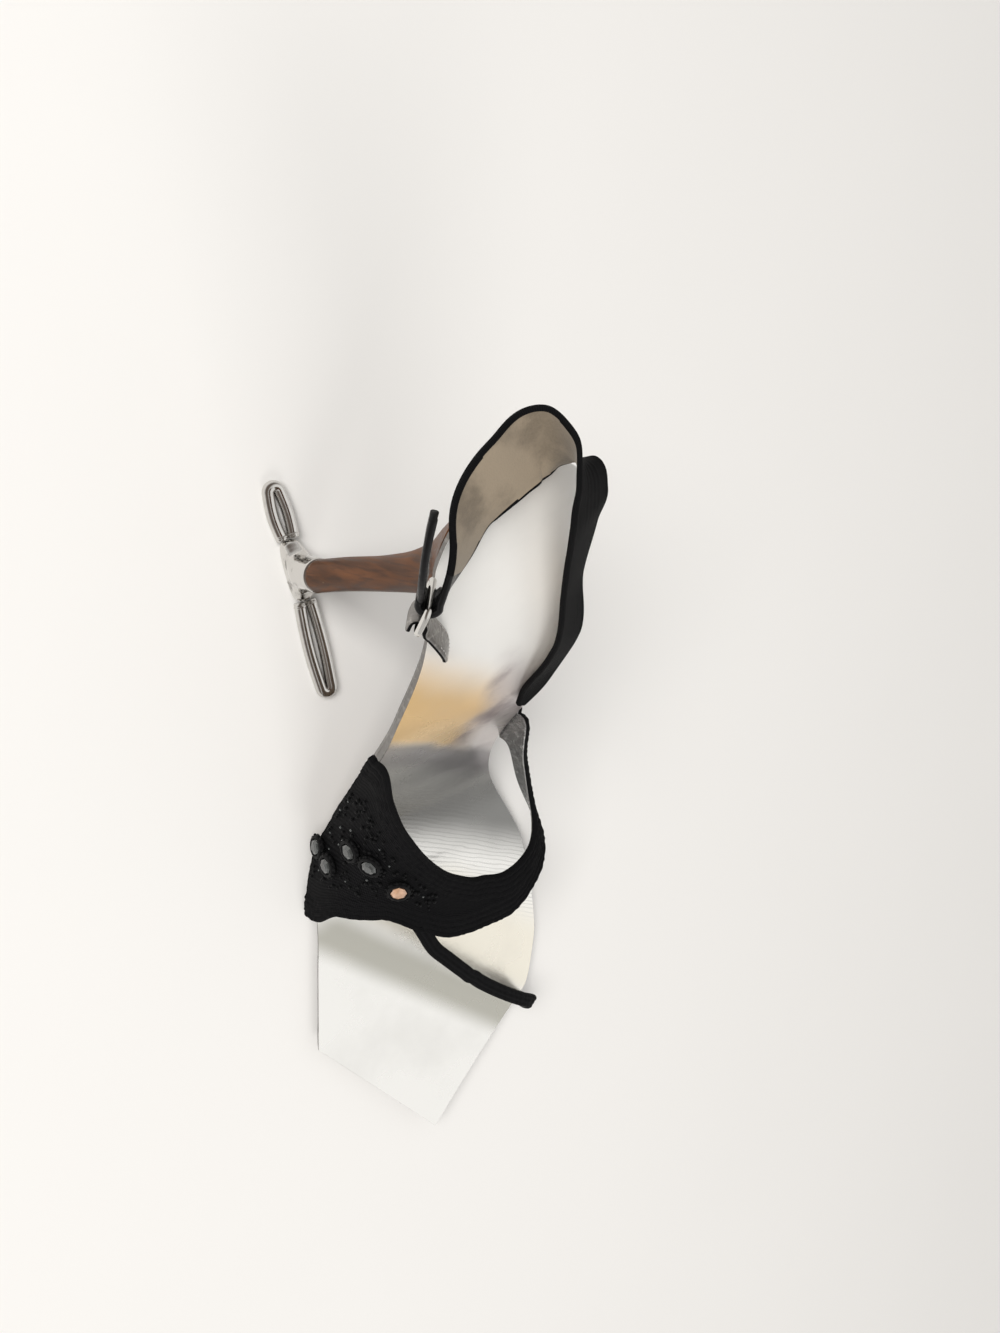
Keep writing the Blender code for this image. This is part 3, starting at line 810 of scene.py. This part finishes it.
def rope(distance, run, pitch, rows, phase):
    """Height of braided rows that start at a rim, by distance from it and run along it."""
    row = np.floor(distance / pitch)
    share = distance / pitch - row
    hump = np.sqrt(np.clip(1 - (2 * share - 1) ** 2, 0, 1))
    sway = 0.18 * np.sin(0.9 * run + 2.1 * row) + 0.12 * np.sin(0.37 * run + 1.3 * row)
    twist = 0.86 + 0.14 * np.cos(2 * pi * (run / TWIST_PITCH + phase + 0.4 * row + 0.6 * share + sway))
    return np.where(row < rows, hump * twist, 0.0)


class HEEL_OT_band(bpy.types.Operator):
    """Make the corded band over the forefoot and the thin strap that springs from it"""

    bl_idname = "heel.band"
    bl_label = "Band and thin strap"

    def band(self, wall, pitch):
        """The band's wall, corded outside and lined inside."""
        turns = np.linspace(BAND_ROWS[0][0], BAND_ROWS[-1][0], 400)
        runs = run_along(form((rear_rim(turns) + front_rim(turns)) / 2, turns))

        def place(s, t):
            run = s * runs[-1]
            angle = np.interp(run, runs, turns)
            share = np.where(t <= 0.5, 2 * t, 2 - 2 * t)
            share = 0.5 - 0.5 * np.cos(pi * share)
            width = np.linalg.norm(form(front_rim(angle), angle) - form(rear_rim(angle), angle), axis=-1)
            x = rear_rim(angle) * (1 - share) + front_rim(angle) * share
            rear, front = share * width, (1 - share) * width
            near = np.clip(np.minimum(rear, front) / (wall / 2), 0, 1)
            half = wall / 2 * np.sqrt(1 - (1 - near) ** 2)
            rows = np.clip(width / 2 / pitch, 1, 4)
            cords = np.maximum(rope(rear, run, pitch, rows, 0.0), rope(front, run, pitch, rows, 0.3))
            open_work = 0.25 * (1 + np.sin(x * 2.6) * np.sin(angle * 0.9))
            open_work = open_work * (np.minimum(rear, front) > 4 * pitch)
            outer = wall / 2 + half - CORD_SINK + CORD_RISE * (cords + open_work * 0.5) * near
            lift = np.where(t <= 0.5, np.maximum(outer, wall / 2), wall / 2 - half)
            return form(x, angle) + lift[:, None] * form_normal(x, angle)

        def paint(s, t):
            return int(0.53 < t < 0.97)

        return close_tube(laid_grid(420, 128, place, paint, (runs[-1], 60.0)))

    def thin_strap(self, wall, wide):
        """The thin strap, from under the band's front rim to the inner edge."""
        start = THIN_START + front_rim(THIN_ANGLE)
        way = curve([(x, a / 2, 0) for x, a in [(start, THIN_ANGLE), *THIN_ROWS]], 160)
        x, angle = way[:, 0], way[:, 1] * 2
        out = form_normal(x, angle)
        centre = form(x, angle) + out * (wall / 2)
        along = unit(np.gradient(centre, axis=0))
        length = run_along(centre)[-1]

        def relief(s, a, b, width):
            cords = rope(a + width / 2, s * length, width / 3, 3, 0.1)
            return b + np.where(b > 0.2, 0.5 * cords - 0.2, 0)

        def paint(s, t):
            return int(0.56 < t < 0.94)

        rows, widths = (centre, unit(np.cross(out, along)), out), np.full(len(centre), wide)
        return strap_mesh((220, 48), rows, widths, wall - 0.1, paint, (length, 12.0), relief)

    def execute(self, context):
        sizes = context.scene.heel_sizes
        wall, materials = sizes.upper / MM, ("corded_black", "lining_foil")
        band = self.band(wall, sizes.cord / MM)
        finish_piece("band", band, materials, ("vamp_upper",))
        finish_piece("thin_strap", self.thin_strap(wall, sizes.thin / MM), materials, ())
        return {"FINISHED"}


class HEEL_OT_stones(bpy.types.Operator):
    """Set the cut stones on the band, with their beaded rims and the beads between them"""

    bl_idname = "heel.stones"
    bl_label = "Stones and beads"

    def stone(self, radius):
        """Faceted stone with a flat table, upright at the origin."""

        def place(s, t):
            wide, high = between(4 * s, range(5), np.array(STONE_ROWS)).T
            turn = 2 * pi * t
            return np.stack([radius * wide * np.cos(turn), radius * wide * np.sin(turn), high], axis=-1)

        return close_tube(laid_grid(4, 8, place))

    def setting(self, seat, radius, out, aside, up):
        """Two rings of cord round a stone, with beads outside them."""
        spots = circle(seat + out * 0.75, radius + 1.15, aside, up, 40)[::3]
        high = wire_mesh(circle(seat + out * 1.1, radius + 0.55, aside, up, 40), 0.5, 10, closed=True)
        low = wire_mesh(circle(seat + out * 0.4, radius + 0.6, aside, up, 40), 0.6, 10, closed=True)
        return join([high, low, beads(spots, [0.5] * len(spots))])

    def scatter(self, count, radius, wall, taken, rng):
        """Spots for the black and the bright beads, clear of the stones, the cords and each other."""
        spots, sparks = [], []
        while len(spots) + len(sparks) < count:
            angle = rng.uniform(-4, 74)
            share = rng.uniform(0.2, 0.8)
            x = np.float64(rear_rim(angle) * (1 - share) + front_rim(angle) * share)
            if min(share, 1 - share) * (front_rim(angle) - rear_rim(angle)) < BEAD_RIM:
                continue
            spot = form(x, angle) + form_normal(x, np.float64(angle)) * (wall + 0.25)
            if min(np.linalg.norm(spot - seat) for seat in taken) < radius + 1.7:
                continue
            near = spots + sparks
            if near and min(np.linalg.norm(spot - other) for other in near) < BEAD_STEP:
                continue
            (sparks if rng.random() < SPARK_SHARE else spots).append(spot)
        return spots, sparks

    def execute(self, context):
        sizes = context.scene.heel_sizes
        radius, wall = sizes.stone / MM, sizes.upper / MM
        taken = []
        for number, (x, angle) in enumerate(STONES, 1):
            x, angle = np.float64(x), np.float64(angle)
            out = form_normal(x, angle)
            seat = form(x, angle) + out * (wall + 0.35)
            aside = unit(np.cross(out, UP))
            up = np.cross(out, aside)
            turn = Matrix((aside, up, out)).transposed().to_4x4()
            bm = self.stone(radius)
            turn = Matrix.Translation(Vector(seat + out * 0.45)) @ turn
            bmesh.ops.transform(bm, matrix=turn, verts=bm.verts)
            tone = "peach_stone" if number == PEACH else "grey_stone"
            finish_piece(f"cut_stone_{number}", bm, (tone,), (f"stone_{number}",), smooth=False)
            rim = self.setting(seat, radius, out, aside, up)
            finish_piece(f"setting_{number}", rim, ("setting_black",), (f"bezel_{number}",))
            taken.append(seat)
        rng = random.Random(7)
        spots, sparks = self.scatter(sizes.beads, radius, wall, taken, rng)
        bm = beads(spots, [rng.uniform(0.38, 0.6) for _ in spots])
        finish_piece("black_beads", bm, ("setting_black",), ())
        bm = beads(sparks, [rng.uniform(0.28, 0.4) for _ in sparks])
        finish_piece("spark_beads", bm, ("grey_stone",), (), smooth=False)
        return {"FINISHED"}


def lean(along, degrees, centre):
    """Direction across the strap: upright, leaning away from the loop's middle by this angle."""
    outward = unit(np.cross(along, UP))
    if (centre - np.array((*SLING_MIDDLE, centre[2]))) @ outward < 0:
        outward = -outward
    upright = unit(UP - along * along[2])
    return cos(radians(degrees)) * upright + sin(radians(degrees)) * outward


def tongue_frame():
    """Where the tongue folds round the buckle: pivot, aim, bar and outward directions."""
    end = np.array(SLING_ROWS[-1][:3])
    aim = unit(np.array(TONGUE_AIM))
    bar = lean(aim, TONGUE_LEAN, end)
    out = np.cross(aim, bar)
    out = out if out[1] < 0 else -out
    return end + aim * 0.6 + out * FOLD_R, aim, bar, out


def evened(path, across, widths, count):
    """The path at even steps, with its directions across and out, its widths and its length."""
    run = run_along(path)
    where = np.linspace(0, run[-1], count)
    path, across = between(where, run, path), between(where, run, across)
    for _ in range(3):
        path[1:-1] = (path[:-2] + 2 * path[1:-1] + path[2:]) / 4
    along = unit(np.gradient(path, axis=0))
    across = unit(across - along * (across * along).sum(axis=1, keepdims=True))
    return (path, across, np.cross(along, across)), np.interp(where, run, widths), run[-1]


class HEEL_OT_sling(bpy.types.Operator):
    """Make the slack strap round the heel, its tongue and its free end"""

    bl_idname = "heel.sling"
    bl_label = "Sling strap"

    def execute(self, context):
        thick = context.scene.heel_sizes.sling / MM
        rows = curve(SLING_ROWS, 160)
        centres = rows[:, :3]
        along = unit(np.gradient(centres, axis=0))
        across = np.array([lean(way, d, c) for way, d, c in zip(along, rows[:, 3], centres)])
        pivot, aim, bar, out = tongue_frame()
        turns = np.radians(np.linspace(0, 180, 25))
        fold = pivot + FOLD_R * (np.sin(turns)[:, None] * aim - np.cos(turns)[:, None] * out)
        free = curve([(*(fold[-1] - aim * 1.5), TONGUE_W), *FREE_END], 40)
        path = np.concatenate([centres, fold, free[:, :3]])
        across = np.concatenate([across, np.tile(bar, (len(fold) + len(free), 1))])
        widths = np.concatenate([rows[:, 4], np.full(len(fold), TONGUE_W), free[:, 3]])
        rows, widths, length = evened(path, across, widths, 420)
        where = np.linspace(0, 1, len(widths))
        last_lined = np.array(SLING_ROWS[-2][:3])
        lined = np.argmin(np.linalg.norm(rows[0] - last_lined, axis=1)) / len(widths)

        def relief(s, a, b, width):
            edge = np.clip((np.abs(a) - (width / 2 - ROLL)) / ROLL, 0, 1)
            return b * (1 + 0.22 * np.sin(pi * edge))

        def paint(s, t):
            if s > lined:
                return 2
            width = np.interp(s, where, widths)
            a, b = strap_ring(np.float64(t), width, thick)
            return 1 if b < 0 and abs(a) < width / 2 - 1.1 else 0

        bm = strap_mesh((420, 56), rows, widths, thick, paint, (length, 36.0), relief)
        materials = ("strap_black", "suede_tan", "patent_black")
        finish_piece("sling", bm, materials, ("sling_strap",))
        return {"FINISHED"}


class HEEL_OT_buckle(bpy.types.Operator):
    """Make the buckle's frame and the stitched tab that holds it"""

    bl_idname = "heel.buckle"
    bl_label = "Buckle and tab"

    def execute(self, context):
        pivot, aim, bar, out = tongue_frame()
        centre = pivot + aim * FRAME_L / 2
        path = []
        for start, (s, e) in enumerate(((1, 1), (-1, 1), (-1, -1), (1, -1))):
            for step in range(9):
                turn = pi / 2 * (start + step / 8)
                along = s * (FRAME_W / 2 - FRAME_CORNER) + FRAME_CORNER * cos(turn)
                ahead = e * (FRAME_L / 2 - FRAME_CORNER) + FRAME_CORNER * sin(turn)
                path.append(centre + along * bar + ahead * aim)
        bm = wire_mesh(path, FRAME_R, 16, closed=True)
        finish_piece("frame_wire", bm, ("buckle_silver",), ("buckle_frame",))

        hold, reach = pivot + aim * FRAME_L, FRAME_R + TAB_GAP + TAB_THICK / 2
        turns = np.radians(np.linspace(180, 0, 21))
        fold = hold + reach * (-np.sin(turns)[:, None] * aim - np.cos(turns)[:, None] * out)
        back = fold[:1] + aim * np.array([[1.6], [0.8]])
        tail = curve([(*(fold[-1] + aim * 1.0), TAB_W), *TAB_TIP], 40)
        path = np.concatenate([back, fold, tail[:, :3]])
        widths = np.concatenate([np.full(len(back) + len(fold), TAB_W), tail[:, 3]])
        rows, widths, length = evened(path, np.tile(bar, (len(path), 1)), widths, 120)

        def paint(s, t):
            return int(not 0.53 < t < 0.97)

        bm = strap_mesh((120, 40), rows, widths, TAB_THICK, paint, (length, 17.0))
        finish_piece("tab", bm, ("tab_foil", "strap_black"), ("buckle_tab",))

        where, marks = np.linspace(0, 1, len(widths)), np.linspace(0.52, 0.93, 9)
        spot, side, up = (between(marks, where, row) for row in rows)
        inset = (np.interp(marks, where, widths) / 2 - 1.1)[:, None]
        spot = spot - up * TAB_THICK / 2
        points = np.concatenate([spot + inset * side, spot - inset * side])
        bm = stitches(points, np.tile(np.cross(side, up), (2, 1)), np.tile(up, (2, 1)))
        finish_piece("tab_stitches", bm, ("buckle_silver",), ())
        return {"FINISHED"}


class HEEL_OT_heel(bpy.types.Operator):
    """Make the wooden stem, the silver fitting under it and its two loops"""

    bl_idname = "heel.heel"
    bl_label = "Heel"

    def stem(self, under):
        """The stem, flared at its top to meet the sole this far under the footbed."""
        rows = curve(STEM_ROWS, 60)
        cx, cy, a, b = SEAT

        def place(s, t):
            turn = 2 * pi * t
            body = np.clip(s / STEM_SHARE, 0, 1) * (len(rows) - 1)
            z, x, y, long, wide = between(body, np.arange(len(rows)), rows).T
            low = np.stack([x + long * np.cos(turn), y + wide * np.sin(turn), z], axis=-1)
            sx, sy = cx + a * np.cos(turn), cy + b * np.sin(turn)
            top = np.stack([sx, sy, bed(sx) - under / bed_normal(sx)[:, 2] - 0.25], axis=-1)
            rise = np.clip((s - STEM_SHARE) / (1 - STEM_SHARE), 0, 1)[:, None]
            return low * (1 - rise) + top * rise

        return close_tube(laid_grid(100, 48, place))

    def fitting(self, base, axis, aside):
        """The silver fitting, round at its neck and flat at its foot."""
        heights, *columns = zip(*FERRULE_ROWS)
        lengths, widths, squares = (spline(heights, column) for column in columns)

        def place(s, t):
            z = s * heights[-1]
            power = 2 / np.maximum(squares(z), 2.0)
            c, q = (np.sign(v) * np.abs(v) ** power for v in (np.cos(2 * pi * t), np.sin(2 * pi * t)))
            spot = base + (lengths(z) * c)[:, None] * axis + (widths(z) * q)[:, None] * aside
            return spot + np.outer(z, UP)

        return close_tube(laid_grid(40, 64, place))

    def loop(self, base, axis, aside, reach, wire):
        """One loop of wire, with a collar on each leg."""
        near = max(row[1] for row in FERRULE_ROWS) + 0.35
        far = reach - wire - LOOP_R
        legs = np.linspace(near, far, 20)
        half = LOOP_R + LOOP_BULGE * np.sin(pi * (legs - near) / (far - near))
        turns = np.radians(np.linspace(-90, 90, 25))
        plan = [(p, -h) for p, h in zip(legs[:-1], half)]
        plan += [(far + LOOP_R * cos(turn), LOOP_R * sin(turn)) for turn in turns]
        plan += [(p, h) for p, h in zip(legs[-2::-1], half[-2::-1])]
        rise = [wire + LOOP_RISE * max(0, (far - p) / (far - near)) ** 1.6 for p, _ in plan]
        path = [base + p * axis + q * aside + z * UP for (p, q), z in zip(plan, rise)]
        parts = [wire_mesh(path, wire, 20, level=UP)]
        for q in (-LOOP_R, LOOP_R):
            at = base + (near + 1.0) * axis + q * aside + (wire + LOOP_RISE * 0.95) * UP
            parts.append(wire_mesh(circle(at, wire * 0.92, aside, UP, 24), COLLAR_R, 8, closed=True))
        return join(parts)

    def execute(self, context):
        sizes = context.scene.heel_sizes
        stem = self.stem((sizes.insole + sizes.outsole) / MM + STEM_GAP)
        finish_piece("stem", stem, ("stem_wood",), ("heel_stem",))
        base = np.array((BASE_X, BASE_Y, 0.0))
        axis = np.array((cos(BASE_TURN), sin(BASE_TURN), 0))
        aside = np.array((-sin(BASE_TURN), cos(BASE_TURN), 0))
        fitting = self.fitting(base, axis, aside)
        finish_piece("fitting", fitting, ("heel_silver",), ("heel_ferrule",))
        for name, node, way, reach in (
            ("loop_front", "heel_loop_front", 1, LOOP_FRONT),
            ("loop_back", "heel_loop_back", -1, LOOP_BACK),
        ):
            loop = self.loop(base, way * axis, aside, reach, sizes.wire / MM)
            finish_piece(name, loop, ("heel_silver",), (node,))
        return {"FINISHED"}


class HEEL_OT_stage(bpy.types.Operator):
    """Set the floor, the soft light and the camera"""

    bl_idname = "heel.stage"
    bl_label = "Stage"

    def floor(self, scene, tint):
        """Plain pale floor."""
        bm = bmesh.new()
        bmesh.ops.create_grid(bm, x_segments=8, y_segments=8, size=FLOOR_HALF)
        mesh = bpy.data.meshes.new("floor")
        bm.to_mesh(mesh)
        bm.free()
        material, shader, place = new_material("floor_paper")
        shade = mix(patches(place, 3.0, 0.3, 0.7), colour(tint), colour(tint, 0.985))
        feed(shader, Base_Color=shade, Roughness=0.85)
        mesh.materials.append(material)
        floor = bpy.data.objects.new("floor", mesh)
        scene.collection.objects.link(floor)

    def lights(self, scene, power):
        """A soft key on the outer side, and a weaker fill from the front."""
        for name, place, share in (("overhead", KEY_PLACE, 1.0), ("fill", FILL_PLACE, FILL_SHARE)):
            data = bpy.data.lights.new(name, "AREA")
            data.energy, data.size, data.color = power * share, LIGHT_SIZE, LIGHT_TINT
            light = bpy.data.objects.new(name, data)
            aim = (Vector(LIGHT_AIM) - Vector(place)).to_track_quat("-Z", "Y").to_matrix().to_4x4()
            light.matrix_world = Matrix.Translation(place) @ aim
            light.visible_glossy = False
            scene.collection.objects.link(light)

    def room(self, scene, strength):
        """Soft room light; metal mirrors a bright window, warm walls and a pale horizon."""
        world = bpy.data.worlds.new("room")
        world.use_nodes = True
        tree = world.node_tree
        way = tree.nodes.new("ShaderNodeTexCoord").outputs["Generated"]
        height = add(tree, "ShaderNodeSeparateXYZ", Vector=way).outputs[2]
        facing = add(tree, "ShaderNodeVectorMath", {"operation": "DOT_PRODUCT"}, i0=way, i1=WINDOW_WAY)
        window = ramp(facing.outputs["Value"], 0.25, 0.85)
        above = ramp(height, 0.0, 1.0)
        soft = mix(above, colour((0.60, 0.59, 0.58)), colour((0.95, 0.94, 0.92)))
        mirrored = mix(window, colour((0.44, 0.36, 0.31)), colour((2.8, 2.78, 2.72)))
        mirrored = mix(ramp(height, 0.42, 0.18), mirrored, colour((1.9, 1.87, 1.82)))
        paths = tree.nodes.new("ShaderNodeLightPath").outputs
        shade = mix(paths["Is Glossy Ray"], soft, mirrored)
        shade = mix(paths["Is Camera Ray"], shade, colour((2.5, 2.46, 2.4)))
        feed(tree.nodes["Background"], Color=shade, Strength=strength)
        scene.world = world

    def camera(self, scene):
        """The photo's view."""
        data = bpy.data.cameras.new("camera")
        data.sensor_width, data.lens, data.clip_start = 36, CAMERA_LENS, 0.01
        camera = bpy.data.objects.new("camera", data)
        aim = Vector(CAMERA_AIM).normalized()
        right = Vector(CAMERA_RIGHT)
        right = (right - aim * right.dot(aim)).normalized()
        turn = Matrix((right, right.cross(aim), -aim)).transposed().to_4x4()
        camera.matrix_world = Matrix.Translation(CAMERA_PLACE) @ turn
        scene.collection.objects.link(camera)
        scene.camera = camera

    def execute(self, context):
        scene, stage = context.scene, context.scene.heel_stage
        self.floor(scene, stage.floor)
        self.lights(scene, stage.key)
        self.room(scene, stage.sky)
        scene.view_settings.view_transform = "Standard"
        self.camera(scene)
        return {"FINISHED"}


class HEEL_PT_panel(bpy.types.Panel):
    """The shoe's pieces, in the order they are made"""

    bl_idname = "HEEL_PT_panel"
    bl_label = "Slingback heel"
    bl_space_type = "VIEW_3D"
    bl_region_type = "UI"
    bl_category = "Heel"

    def draw(self, context):
        for group in (context.scene.heel_colours, context.scene.heel_sizes, context.scene.heel_stage):
            box = self.layout.box()
            for name in group.__annotations__:
                box.prop(group, name)
        for operator in OPERATORS:
            self.layout.operator(operator.bl_idname)


OPERATORS = (
    HEEL_OT_stage,
    HEEL_OT_sole,
    HEEL_OT_band,
    HEEL_OT_stones,
    HEEL_OT_sling,
    HEEL_OT_buckle,
    HEEL_OT_heel,
)
CLASSES = (HeelColours, HeelSizes, HeelStage, *OPERATORS, HEEL_PT_panel)


def register():
    for cls in CLASSES:
        bpy.utils.register_class(cls)
    bpy.types.Scene.heel_colours = PointerProperty(type=HeelColours)
    bpy.types.Scene.heel_sizes = PointerProperty(type=HeelSizes)
    bpy.types.Scene.heel_stage = PointerProperty(type=HeelStage)


def unregister():
    del bpy.types.Scene.heel_stage, bpy.types.Scene.heel_sizes, bpy.types.Scene.heel_colours
    for cls in reversed(CLASSES):
        bpy.utils.unregister_class(cls)


def main():
    register()
    bpy.ops.heel.stage()
    bpy.ops.heel.sole()
    bpy.ops.heel.band()
    bpy.ops.heel.stones()
    bpy.ops.heel.sling()
    bpy.ops.heel.buckle()
    bpy.ops.heel.heel()


if __name__ == "__main__":
    main()
